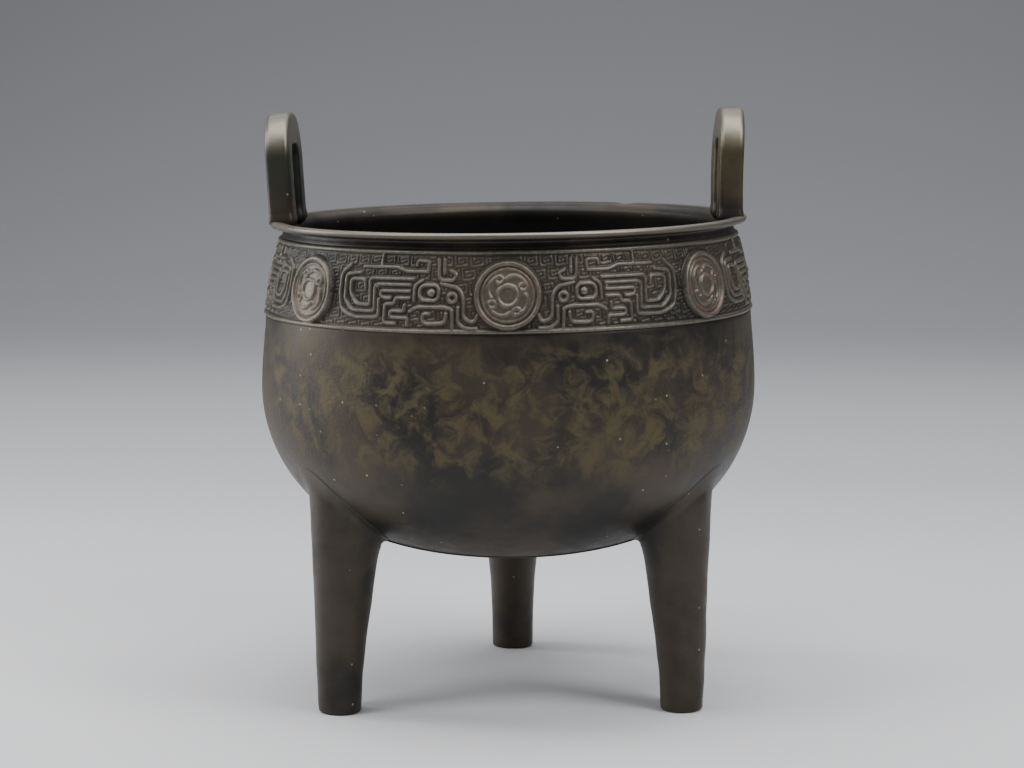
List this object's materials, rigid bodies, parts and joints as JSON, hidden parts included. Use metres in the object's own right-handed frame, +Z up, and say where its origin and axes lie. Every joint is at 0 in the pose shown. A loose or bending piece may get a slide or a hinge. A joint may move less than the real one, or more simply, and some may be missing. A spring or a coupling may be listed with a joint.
{
  "type": "bronze ding vessel",
  "caption": "Round archaic bronze ding: hollow tripod vessel with two loop handles, three columnar legs and a neck band of whorl roundels and dragons.",
  "frame": {"origin": "on the surface it stands on, under the vertical axis of the bowl", "axes": "+Z up the axis of the bowl, handles on +X and -X, front of the vessel on -Y"},
  "size_m": [0.1838, 0.1838, 0.2191],
  "materials": {
    "bronze": "dark brown patinated cast bronze, satin, with olive and reddish mottling"
  },
  "bodies": {
    "root": {"ding_vessel": "bronze"}
  },
  "joints": []
}
